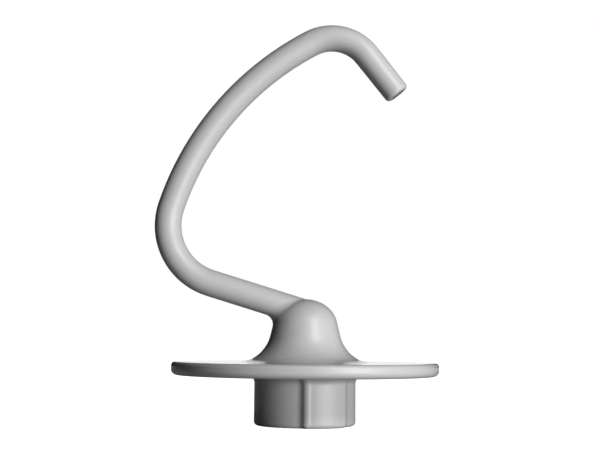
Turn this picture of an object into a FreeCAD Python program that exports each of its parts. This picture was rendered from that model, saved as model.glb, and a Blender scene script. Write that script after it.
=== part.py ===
import FreeCAD, Part
import math
import os

# Coated dough hook of a stand mixer, standing on the mouth of its hub.
# Millimetres. Origin: bore axis at the mouth face. +Z: up the bore, from the mouth to the hook.
# The arm lies in the XZ plane. Polar angles count from -Y (the front) towards +X.
#
# One aluminium casting (hub, guard disc, boss, arm) carries a polymer coat. Both are divided at
# the same seams: the cylinder SEAM_RADIUS, the disc's middle plane and a plane across the arm.

Vector = FreeCAD.Vector

# Coat
COAT = 0.35

# Hub: a sleeve with a raised pad over the bayonet slot
HUB_RADIUS = 15.62
HUB_DISC_FILLET = 2.4
MOUTH_ROUND = 1.2
MOUTH_LAND = 0.4            # width of the coat's flat edge at the mouth
PAD_RADIUS = 16.97
PAD_START = 2.8             # polar angles of the pad's crown
PAD_END = 43.6
PAD_START_FILLET = 2.6      # concave, at the pad's foot
PAD_END_FILLET = 8.5
PAD_EDGE_ROUND = 1.75
PAD_BEAD = 0.18             # the pad's starting edge stands this proud of its crown
BEAD_FILLET = 2.6

# Bore and bayonet slot, for a 12.7 mm shaft with a 4.8 mm cross pin
BORE_RADIUS = 6.45
BORE_DEPTH = 30.0
SLOT_WIDTH = 5.2
SLOT_FLOOR_RADIUS = 13.0
SLOT_ENTRY_ANGLE = 12.0
SLOT_LOCK_ANGLE = 34.0
SLOT_TOP = 14.0
SLOT_FOOT_BOTTOM = 8.0
SLOT_POCKET_BOTTOM = 6.5

# Guard disc
DISC_RADIUS = 41.25
DISC_BOTTOM = 15.2
DISC_THICKNESS = 4.05
DISC_TOP_ROUND = 1.2
DISC_BOTTOM_ROUND = 1.9
SEAM_RADIUS = 20.0

# Boss: ellipsoid dome, tapered side and flared foot
DOME_CENTRE_Z = 29.95
DOME_RADIUS = 10.0
DOME_HEIGHT = 8.8
BOSS_TAPER = 13.5
FLARE_RADIUS = 10.6
ARM_ROOT_FILLET = 3.2

# Arm: a round rod along straight runs and tangent arcs
ARM_RADIUS = 4.17
TIP_RADIUS = 4.02
TIP_ROUND = 1.3
ARM_START = (3.0, 33.5)     # X and Z, inside the boss
ARM_HEADING = 163.0         # degrees above +X
ROOT_RUN = 34.2
ARM_ARCS = [                # radius, degrees turned clockwise
    (18.9, 90.85),
    (91.2, 43.7),
    (13.9, 80.3),
]
TIP_RUN = 16.1
STUB_LENGTH = 17.5          # the part of the root run that belongs to the boss

OVERRUN = 1.0               # how far a cutting shape runs past what it cuts
NEAR = 0.01                 # points this close count as touching
ON_PLANE = 1e-4

DISC_TOP = DISC_BOTTOM + DISC_THICKNESS
DISC_MIDDLE = DISC_BOTTOM + DISC_THICKNESS / 2
UP = Vector(0, 0, 1)
ORIGIN = Vector(0, 0, 0)
ACROSS = Vector(0, 1, 0)


def polar(radius, angle):
    """Point at a distance from the bore axis and a polar angle from the front."""
    a = math.radians(angle)
    return Vector(radius * math.sin(a), -radius * math.cos(a), 0)


def arc_about(centre, start, end):
    """The shorter arc about centre from start to end."""
    radius = (start - centre).Length
    middle = (start - centre).normalize() + (end - centre).normalize()
    return Part.Arc(start, centre + middle.normalize() * radius, end).toShape()


def line(start, end):
    return Part.LineSegment(start, end).toShape()


def revolved(edges):
    return Part.Face(Part.Wire(edges)).revolve(ORIGIN, UP, 360)


# ---------------------------------------------------------------- hub

def corner(inset, low_radius, high_radius, angle, side, fillet):
    """An upright edge rounded at high_radius and angle, that a fillet carries down to low_radius.

    Gives the fillet's end on the low radius, its centre, its contact with the round and the
    round's centre. The edge falls away to the side: -1 towards smaller angles, 1 towards larger.
    """
    round_distance = high_radius - PAD_EDGE_ROUND
    fillet_distance = low_radius + fillet
    gap = fillet + PAD_EDGE_ROUND
    cosine = fillet_distance ** 2 + round_distance ** 2 - gap ** 2
    cosine /= 2 * fillet_distance * round_distance
    end_angle = angle + side * math.degrees(math.acos(cosine))
    fillet_centre = polar(fillet_distance, end_angle)
    round_centre = polar(round_distance, angle)
    towards_round = (round_centre - fillet_centre).normalize()
    contact = fillet_centre + towards_round * (fillet + inset)
    return polar(low_radius - inset, end_angle), fillet_centre, contact, round_centre


def hub_outline(inset):
    """Closed outline of the sleeve and its pad, drawn inset all round."""
    bead_radius = PAD_RADIUS + PAD_BEAD
    foot_a, foot_centre_a, contact_a, bead_centre = corner(
        inset, HUB_RADIUS, bead_radius, PAD_START, -1, PAD_START_FILLET)
    crown_a, crown_centre_a, contact_crown = corner(
        inset, PAD_RADIUS, bead_radius, PAD_START, 1, BEAD_FILLET)[:3]
    foot_b, foot_centre_b, contact_b, edge_centre_b = corner(
        inset, HUB_RADIUS, PAD_RADIUS, PAD_END, 1, PAD_END_FILLET)
    crown_b = polar(PAD_RADIUS - inset, PAD_END)
    pad_middle = (PAD_START + PAD_END) / 2
    return Part.Wire([
        arc_about(foot_centre_a, foot_a, contact_a),
        arc_about(bead_centre, contact_a, contact_crown),
        arc_about(crown_centre_a, contact_crown, crown_a),
        Part.Arc(crown_a, polar(PAD_RADIUS - inset, pad_middle), crown_b).toShape(),
        arc_about(edge_centre_b, crown_b, contact_b),
        arc_about(foot_centre_b, contact_b, foot_b),
        Part.Arc(foot_b, polar(HUB_RADIUS - inset, pad_middle + 180), foot_a).toShape(),
    ])


def column(outline, bottom, top):
    face = Part.Face(outline)
    face.translate(Vector(0, 0, bottom))
    return face.extrude(Vector(0, 0, top - bottom))


def edges_at(shape, z, largest_radius):
    """Edges that lie in the plane at z, no further from the axis than largest_radius."""
    found = []
    for edge in shape.Edges:
        box = edge.BoundBox
        flat = abs(box.ZMin - z) < ON_PLANE and abs(box.ZMax - z) < ON_PLANE
        if flat and max(abs(box.XMin), abs(box.XMax)) < largest_radius:
            found.append(edge)
    return found


def hub_body(inset):
    """Sleeve, pad and the lower half of the disc inside the seam, with no bore."""
    under_disc = DISC_BOTTOM + inset
    sleeve = column(hub_outline(inset), inset, DISC_MIDDLE)
    sleeve = sleeve.makeFillet(MOUTH_ROUND - inset, edges_at(sleeve, inset, SEAM_RADIUS))
    slab = Part.makeCylinder(SEAM_RADIUS, DISC_MIDDLE - under_disc, Vector(0, 0, under_disc))
    body = sleeve.fuse(slab).removeSplitter()
    root = edges_at(body, under_disc, PAD_RADIUS + OVERRUN)
    return body.makeFillet(HUB_DISC_FILLET - inset, root)


def bayonet_slot():
    """J-shaped slot: straight in from the mouth, a turn to the side and a locking pocket."""
    height = SLOT_TOP - SLOT_FOOT_BOTTOM
    reach = SLOT_FLOOR_RADIUS + OVERRUN
    stretches = ((SLOT_ENTRY_ANGLE, -OVERRUN), (SLOT_LOCK_ANGLE, SLOT_POCKET_BOTTOM))
    channels = []
    for angle, bottom in stretches:
        channel = Part.makeBox(SLOT_WIDTH, reach, SLOT_TOP - bottom,
                               Vector(-SLOT_WIDTH / 2, -reach, bottom))
        channel.rotate(ORIGIN, UP, angle)
        channels.append(channel)
    turn = Part.makeCylinder(SLOT_FLOOR_RADIUS, height, Vector(0, 0, SLOT_FOOT_BOTTOM), UP,
                             SLOT_LOCK_ANGLE - SLOT_ENTRY_ANGLE)
    turn.rotate(ORIGIN, UP, SLOT_ENTRY_ANGLE - 90)
    limit = Part.makeCylinder(SLOT_FLOOR_RADIUS, SLOT_TOP + OVERRUN, Vector(0, 0, -OVERRUN))
    return channels[0].multiFuse([channels[1], turn]).common(limit)


def bore():
    return Part.makeCylinder(BORE_RADIUS, BORE_DEPTH + OVERRUN, Vector(0, 0, -OVERRUN))


# ---------------------------------------------------------------- guard disc and boss

def disc_ring(inset):
    """The guard disc outside the seam, with a bullnose rim."""
    radius = DISC_RADIUS - inset
    top = DISC_TOP - inset
    bottom = DISC_BOTTOM + inset
    top_round = DISC_TOP_ROUND - inset
    bottom_round = DISC_BOTTOM_ROUND - inset
    flare_centre, flare_end = flare_points(inset)[1:]
    seam_top = flare_at_seam(inset)
    seam_bottom = Vector(SEAM_RADIUS, 0, bottom)
    under_rim = Vector(radius - bottom_round, 0, bottom)
    rim_low = Vector(radius, 0, bottom + bottom_round)
    rim_high = Vector(radius, 0, top - top_round)
    over_rim = Vector(radius - top_round, 0, top)
    return revolved([
        line(seam_bottom, under_rim),
        arc_about(Vector(under_rim.x, 0, rim_low.z), under_rim, rim_low),
        line(rim_low, rim_high),
        arc_about(Vector(over_rim.x, 0, rim_high.z), rim_high, over_rim),
        line(over_rim, flare_end),
        arc_about(flare_centre, flare_end, seam_top),
        line(seam_top, seam_bottom),
    ])


def dome_join(inset):
    """Parameter and point where the dome's ellipse meets the tapered side."""
    radius = DOME_RADIUS - inset
    height = DOME_HEIGHT - inset
    parameter = math.atan(height / radius * math.tan(math.radians(BOSS_TAPER)))
    point = Vector(radius * math.cos(parameter), 0, DOME_CENTRE_Z + height * math.sin(parameter))
    return parameter, point


def flare_points(inset):
    """Start, centre and end of the arc that carries the boss's side into the disc's top."""
    taper = math.radians(BOSS_TAPER)
    radius = FLARE_RADIUS + inset
    centre_z = DISC_TOP - inset + radius
    start_z = centre_z - radius * math.sin(taper)
    join = dome_join(inset)[1]
    start = Vector(join.x + (join.z - start_z) * math.tan(taper), 0, start_z)
    centre = Vector(start.x + radius * math.cos(taper), 0, centre_z)
    return start, centre, Vector(centre.x, 0, centre_z - radius)


def flare_at_seam(inset):
    """Point of the flare's arc on the seam between boss and disc."""
    centre = flare_points(inset)[1]
    drop = math.sqrt((FLARE_RADIUS + inset) ** 2 - (centre.x - SEAM_RADIUS) ** 2)
    return Vector(SEAM_RADIUS, 0, centre.z - drop)


def boss_core(inset):
    """The boss and the upper half of the disc inside the seam, without the arm."""
    radius = DOME_RADIUS - inset
    height = DOME_HEIGHT - inset
    dome_centre = Vector(0, 0, DOME_CENTRE_Z)
    parameter, join = dome_join(inset)
    ellipse = Part.Ellipse(dome_centre + Vector(radius, 0, 0), dome_centre + Vector(0, 0, height),
                           dome_centre)
    dome = Part.ArcOfEllipse(ellipse, parameter, math.pi / 2).toShape()
    top = Vector(0, 0, DOME_CENTRE_Z + height)
    flare_start, flare_centre = flare_points(inset)[:2]
    seam_top = flare_at_seam(inset)
    seam_bottom = Vector(SEAM_RADIUS, 0, DISC_MIDDLE)
    middle = Vector(0, 0, DISC_MIDDLE)
    core = revolved([
        line(middle, seam_bottom),
        line(seam_bottom, seam_top),
        arc_about(flare_centre, seam_top, flare_start),
        line(flare_start, join),
        dome,
        line(top, middle),
    ])
    core.rotate(ORIGIN, UP, 180)    # the seam line of the turned faces goes under the arm
    return core


# ---------------------------------------------------------------- arm

def heading_vector(heading):
    a = math.radians(heading)
    return Vector(math.cos(a), 0, math.sin(a))


def rod_run(start, heading, length, radius, end_radius=None):
    """A straight run of the arm, tapered when it has an end radius."""
    direction = heading_vector(heading)
    if end_radius is None:
        return Part.makeCylinder(radius, length, start, direction)
    return Part.makeCone(radius, end_radius, length, start, direction)


def rod_bend(start, heading, bend_radius, turn, radius):
    """A bend of the arm that turns clockwise, seen from the front."""
    direction = heading_vector(heading)
    centre = start + heading_vector(heading - 90) * bend_radius
    section = Part.Face(Part.Wire(Part.makeCircle(radius, start, direction)))
    bend = section.revolve(centre, ACROSS, turn)
    end = centre + heading_vector(heading - turn + 90) * bend_radius
    return bend, end


def root_stub(inset):
    """The root run from inside the boss to the seam across the arm."""
    start = Vector(ARM_START[0], 0, ARM_START[1])
    return rod_run(start, ARM_HEADING, STUB_LENGTH, ARM_RADIUS - inset)


def arm_rod(inset):
    """The arm beyond the seam: the rest of the root run, the bends and the tip."""
    radius = ARM_RADIUS - inset
    direction = heading_vector(ARM_HEADING)
    start = Vector(ARM_START[0], 0, ARM_START[1]) + direction * STUB_LENGTH
    length = ROOT_RUN - STUB_LENGTH
    pieces = [rod_run(start, ARM_HEADING, length, radius)]
    place = start + direction * length
    heading = ARM_HEADING
    for bend_radius, turn in ARM_ARCS:
        bend, place = rod_bend(place, heading, bend_radius, turn, radius)
        heading -= turn
        pieces.append(bend)
    tip = rod_run(place, heading, TIP_RUN - inset, radius, TIP_RADIUS - inset)
    end = place + heading_vector(heading) * (TIP_RUN - inset)
    rim = [e for e in tip.Edges if e.Closed and (e.CenterOfMass - end).Length < NEAR]
    pieces.append(tip.makeFillet(TIP_ROUND - inset, rim))
    return pieces[0].multiFuse(pieces[1:]).removeSplitter()


def boss_body(inset):
    """The boss with the arm's root, filleted into each other."""
    body = boss_core(inset).fuse(root_stub(inset)).removeSplitter()
    start = Vector(ARM_START[0], 0, ARM_START[1])
    direction = heading_vector(ARM_HEADING)
    crease = []
    for edge in body.Edges:
        if edge.Degenerated:
            continue
        points = edge.discretize(7)
        from_axis = [(p - start).cross(direction).Length for p in points]
        along = [(p - start).dot(direction) for p in points]
        on_rod = max(abs(d - (ARM_RADIUS - inset)) for d in from_axis) < NEAR
        straight = abs(max(along) - min(along) - edge.Length) < NEAR
        at_seam = max(along) > STUB_LENGTH - NEAR
        if on_rod and not straight and not at_seam:
            crease.append(edge)
    return body.makeFillet(ARM_ROOT_FILLET + inset, crease)


# ---------------------------------------------------------------- assembly

def build():
    hole = bore()
    openings = hole.fuse(bayonet_slot())
    land = column(hub_outline(MOUTH_ROUND + MOUTH_LAND), 0, MOUTH_ROUND + MOUTH_LAND)
    hub_casting = hub_body(COAT).fuse(land).removeSplitter()
    outer = {
        "hub": hub_body(0),
        "guard_disc": disc_ring(0),
        "boss": boss_body(0),
        "hook_arm": arm_rod(0),
    }
    casting = {
        "hub": hub_casting,
        "guard_disc": disc_ring(COAT),
        "boss": boss_body(COAT),
        "hook_arm": arm_rod(COAT),
    }
    nodes = {}
    for name in outer:
        nodes[name + "_coat"] = outer[name].cut(casting[name])
    nodes["hub_casting"] = casting["hub"].cut(openings)
    nodes["guard_disc_casting"] = casting["guard_disc"]
    nodes["boss_casting"] = casting["boss"].cut(hole)
    nodes["hook_arm_casting"] = casting["hook_arm"]
    return nodes


os.makedirs("parts", exist_ok=True)
for node, shape in build().items():
    if len(shape.Solids) != 1 or not shape.isValid():
        raise ValueError(f"{node} is not one valid solid")
    shape.Solids[0].exportStep(os.path.join("parts", node + ".step"))
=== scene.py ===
import math

import bpy
from mathutils import Matrix, Vector

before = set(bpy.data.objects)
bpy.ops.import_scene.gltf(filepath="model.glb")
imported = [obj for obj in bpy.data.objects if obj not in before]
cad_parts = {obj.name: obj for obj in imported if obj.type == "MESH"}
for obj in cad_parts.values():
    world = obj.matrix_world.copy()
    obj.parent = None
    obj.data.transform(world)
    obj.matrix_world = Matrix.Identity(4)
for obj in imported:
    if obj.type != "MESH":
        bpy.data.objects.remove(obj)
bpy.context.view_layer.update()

# The looks of a coated dough hook that stands on its hub. Metres.
# Every CAD node keeps its shape and gets a finished material; the stage and lights are built here.

# Camera. Angles in degrees.
CAMERA_PLACE = (-0.0019, -0.3730, 0.0259)
CAMERA_PITCH = 5.5          # above level
CAMERA_ROLL = 0.46
LENS = 72.0
SENSOR_WIDTH = 36.0
CLIP_START = 0.01

# Stage
FLOOR_SIZE = 6.0
FLOOR_GREY = 0.3
FLOOR_ROUGHNESS = 0.9
FLOOR_GLOW = 1.1            # in the camera's view only

# Lights. Azimuths are right of the camera. Sizes are width and height, powers in watts.
LIGHT_TARGET = Vector((0, 0, 0.05))
SOFT_BOX_DISTANCE = 1.0
KEY_LOW = {"azimuth": 42, "elevation": 0.5, "size": (0.56, 0.12), "power": 11.0}
KEY_HIGH = {"azimuth": 35, "elevation": 29, "size": (0.22, 0.22), "power": 7.0}
BACK_FILL = {"azimuth": 180, "elevation": 8, "size": (0.3, 0.2), "power": 7.0}
BACK_CARD_PLACE = (0, 1.2, 0.25)
BACK_CARD_SIZE = (0.36, 0.5)
BACK_CARD_POWER = 0.55

# Coat
COAT_GREY = 0.36
COAT_MOTTLE = 0.015         # share by which the grey varies
COAT_MOTTLE_SCALE = 60
COAT_ROUGHNESS = 0.43
COAT_ROUGHNESS_SPREAD = 0.03
COAT_SMEAR_SCALE = 35
COAT_IOR = 1.42
COAT_PEEL_SCALE = 420
COAT_PEEL_HEIGHT = 0.00012
COAT_PEEL_STRENGTH = 0.10
COAT_GRAZING_POWER = 2.5    # how quickly the mirror-like gloss at grazing angles fades
COAT_GRAZING_ROUGHNESS = 0.05
EVEN_BLEND = 0.5            # Layer Weight's plain facing curve

# Casting
CASTING_GREY = (0.58, 0.68)
CASTING_ROUGHNESS = (0.26, 0.42)
TURNING_SCALE = 4500
GRAIN_SCALE = 900
MARK_HEIGHT = 0.00003
TURNING_STRENGTH = 0.5
GRAIN_STRENGTH = 0.25

COAT_NODES = ("hub_coat", "guard_disc_coat", "boss_coat", "hook_arm_coat")
CASTING_NODES = ("hub_casting", "guard_disc_casting", "boss_casting", "hook_arm_casting")


# ---------------------------------------------------------------- node helpers

def new_material(name):
    """A material with an empty node tree, its output and a Principled shader."""
    material = bpy.data.materials.new(name)
    material.use_nodes = True
    tree = material.node_tree
    tree.nodes.clear()
    output = tree.nodes.new("ShaderNodeOutputMaterial")
    shader = tree.nodes.new("ShaderNodeBsdfPrincipled")
    tree.links.new(shader.outputs["BSDF"], output.inputs["Surface"])
    return material, tree, shader


def add_noise(tree, scale, detail, roughness):
    """Noise in the object's own metres."""
    coordinates = tree.nodes.new("ShaderNodeTexCoord")
    noise = tree.nodes.new("ShaderNodeTexNoise")
    noise.inputs["Scale"].default_value = scale
    noise.inputs["Detail"].default_value = detail
    noise.inputs["Roughness"].default_value = roughness
    tree.links.new(coordinates.outputs["Object"], noise.inputs["Vector"])
    return noise.outputs["Fac"]


def add_turning(tree):
    """Noise that is the same all round the bore axis, like marks left by a lathe."""
    coordinates = tree.nodes.new("ShaderNodeTexCoord")
    split = tree.nodes.new("ShaderNodeSeparateXYZ")
    across = tree.nodes.new("ShaderNodeCombineXYZ")
    radius = tree.nodes.new("ShaderNodeVectorMath")
    radius.operation = "LENGTH"
    rings = tree.nodes.new("ShaderNodeCombineXYZ")
    noise = tree.nodes.new("ShaderNodeTexNoise")
    noise.inputs["Scale"].default_value = TURNING_SCALE
    noise.inputs["Detail"].default_value = 2
    tree.links.new(coordinates.outputs["Object"], split.inputs["Vector"])
    tree.links.new(split.outputs["X"], across.inputs["X"])
    tree.links.new(split.outputs["Y"], across.inputs["Y"])
    tree.links.new(across.outputs["Vector"], radius.inputs[0])
    tree.links.new(radius.outputs["Value"], rings.inputs["X"])
    tree.links.new(split.outputs["Z"], rings.inputs["Z"])
    tree.links.new(rings.outputs["Vector"], noise.inputs["Vector"])
    return noise.outputs["Fac"]


def add_range(tree, value, low, high):
    """Maps 0..1 onto low..high."""
    node = tree.nodes.new("ShaderNodeMapRange")
    node.inputs["To Min"].default_value = low
    node.inputs["To Max"].default_value = high
    tree.links.new(value, node.inputs["Value"])
    return node.outputs["Result"]


def add_grey(tree, value):
    node = tree.nodes.new("ShaderNodeCombineColor")
    for channel in ("Red", "Green", "Blue"):
        tree.links.new(value, node.inputs[channel])
    return node.outputs["Color"]


def add_bump(tree, height, distance, strength, normal=None):
    node = tree.nodes.new("ShaderNodeBump")
    node.inputs["Distance"].default_value = distance
    node.inputs["Strength"].default_value = strength
    tree.links.new(height, node.inputs["Height"])
    if normal is not None:
        tree.links.new(normal, node.inputs["Normal"])
    return node.outputs["Normal"]


# ---------------------------------------------------------------- materials

def coat_material():
    """Smooth fused polymer: even grey, faint orange peel and a soft gloss."""
    material, tree, shader = new_material("grey_coat")

    mottle = add_noise(tree, COAT_MOTTLE_SCALE, detail=3, roughness=0.5)
    tone = add_range(tree, mottle, COAT_GREY * (1 - COAT_MOTTLE), COAT_GREY * (1 + COAT_MOTTLE))
    tree.links.new(add_grey(tree, tone), shader.inputs["Base Color"])

    smear = add_noise(tree, COAT_SMEAR_SCALE, detail=2, roughness=0.5)
    roughness = add_range(
        tree, smear,
        COAT_ROUGHNESS - COAT_ROUGHNESS_SPREAD, COAT_ROUGHNESS + COAT_ROUGHNESS_SPREAD)
    tree.links.new(roughness, shader.inputs["Roughness"])

    peel = add_noise(tree, COAT_PEEL_SCALE, detail=2, roughness=0.5)
    bump = add_bump(tree, peel, COAT_PEEL_HEIGHT, COAT_PEEL_STRENGTH)
    tree.links.new(bump, shader.inputs["Normal"])
    shader.inputs["IOR"].default_value = COAT_IOR

    facing = tree.nodes.new("ShaderNodeLayerWeight")
    facing.inputs["Blend"].default_value = EVEN_BLEND
    grazing = tree.nodes.new("ShaderNodeMath")
    grazing.operation = "POWER"
    grazing.inputs[1].default_value = COAT_GRAZING_POWER
    tree.links.new(facing.outputs["Facing"], grazing.inputs[0])
    tree.links.new(grazing.outputs["Value"], shader.inputs["Coat Weight"])
    shader.inputs["Coat Roughness"].default_value = COAT_GRAZING_ROUGHNESS
    return material


def casting_material():
    """Bare aluminium: machined at the mouth and in the bore, with fine turning marks."""
    material, tree, shader = new_material("bare_casting")
    turning = add_turning(tree)
    grain = add_noise(tree, GRAIN_SCALE, detail=4, roughness=0.6)
    tone = add_range(tree, grain, *CASTING_GREY)
    tree.links.new(add_grey(tree, tone), shader.inputs["Base Color"])
    roughness = add_range(tree, turning, *CASTING_ROUGHNESS)
    tree.links.new(roughness, shader.inputs["Roughness"])
    marks = add_bump(tree, turning, MARK_HEIGHT, TURNING_STRENGTH)
    surface = add_bump(tree, grain, MARK_HEIGHT, GRAIN_STRENGTH, marks)
    tree.links.new(surface, shader.inputs["Normal"])
    shader.inputs["Metallic"].default_value = 1.0
    return material


def dress(nodes, material):
    for name in nodes:
        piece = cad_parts[name]
        piece.data.materials.clear()
        piece.data.materials.append(material)


# ---------------------------------------------------------------- stage

def stage_material():
    """Pale, plain ground. Its white glow is in the camera's view only, so it lights nothing."""
    material, tree, shader = new_material("pale_ground")
    shader.inputs["Base Color"].default_value = (FLOOR_GREY, FLOOR_GREY, FLOOR_GREY, 1)
    shader.inputs["Roughness"].default_value = FLOOR_ROUGHNESS
    shader.inputs["Emission Color"].default_value = (1, 1, 1, 1)
    rays = tree.nodes.new("ShaderNodeLightPath")
    glow = tree.nodes.new("ShaderNodeMath")
    glow.operation = "MULTIPLY"
    glow.inputs[1].default_value = FLOOR_GLOW
    tree.links.new(rays.outputs["Is Camera Ray"], glow.inputs[0])
    tree.links.new(glow.outputs["Value"], shader.inputs["Emission Strength"])
    return material


def make_floor():
    mesh = bpy.data.meshes.new("floor")
    half = FLOOR_SIZE / 2
    corners = [(-half, -half, 0), (half, -half, 0), (half, half, 0), (-half, half, 0)]
    mesh.from_pydata(corners, [], [(0, 1, 2, 3)])
    floor = bpy.data.objects.new("floor", mesh)
    bpy.context.scene.collection.objects.link(floor)
    floor.data.materials.append(stage_material())


def make_world():
    """White in the camera's view and black for everything else."""
    world = bpy.data.worlds.new("surround")
    bpy.context.scene.world = world
    world.use_nodes = True
    tree = world.node_tree
    tree.nodes.clear()
    output = tree.nodes.new("ShaderNodeOutputWorld")
    background = tree.nodes.new("ShaderNodeBackground")
    background.inputs["Color"].default_value = (1, 1, 1, 1)
    rays = tree.nodes.new("ShaderNodeLightPath")
    tree.links.new(rays.outputs["Is Camera Ray"], background.inputs["Strength"])
    tree.links.new(background.outputs["Background"], output.inputs["Surface"])


def add_light(name, place, size, power):
    """A soft box that faces the object's middle."""
    light = bpy.data.lights.new(name, "AREA")
    light.shape = "RECTANGLE"
    light.size, light.size_y = size
    light.energy = power
    lamp = bpy.data.objects.new(name, light)
    bpy.context.scene.collection.objects.link(lamp)
    facing = (LIGHT_TARGET - Vector(place)).to_track_quat("-Z", "Y")
    lamp.matrix_world = Matrix.Translation(place) @ facing.to_matrix().to_4x4()
    return lamp


def add_soft_box(name, azimuth, elevation, size, power):
    """A light at the soft boxes' distance from the object's middle."""
    a = math.radians(azimuth)
    e = math.radians(elevation)
    direction = Vector((math.sin(a) * math.cos(e), -math.cos(a) * math.cos(e), math.sin(e)))
    return add_light(name, LIGHT_TARGET + direction * SOFT_BOX_DISTANCE, size, power)


def make_lights():
    """Two soft boxes at the front right, a dim card behind, and a fill for the back."""
    add_soft_box("key_low", **KEY_LOW)
    add_soft_box("key_high", **KEY_HIGH)
    add_light("back_card", BACK_CARD_PLACE, BACK_CARD_SIZE, BACK_CARD_POWER)
    back_fill = add_soft_box("back_fill", **BACK_FILL)
    back_fill.visible_glossy = False


def make_camera():
    data = bpy.data.cameras.new("camera")
    data.lens = LENS
    data.sensor_width = SENSOR_WIDTH
    data.clip_start = CLIP_START
    camera = bpy.data.objects.new("camera", data)
    bpy.context.scene.collection.objects.link(camera)
    pitch = Matrix.Rotation(math.radians(90 + CAMERA_PITCH), 4, "X")
    roll = Matrix.Rotation(math.radians(CAMERA_ROLL), 4, "Z")
    camera.matrix_world = Matrix.Translation(CAMERA_PLACE) @ pitch @ roll
    bpy.context.scene.camera = camera


make_camera()
dress(COAT_NODES, coat_material())
dress(CASTING_NODES, casting_material())
make_floor()
make_world()
make_lights()
bpy.context.scene.view_settings.view_transform = "Standard"
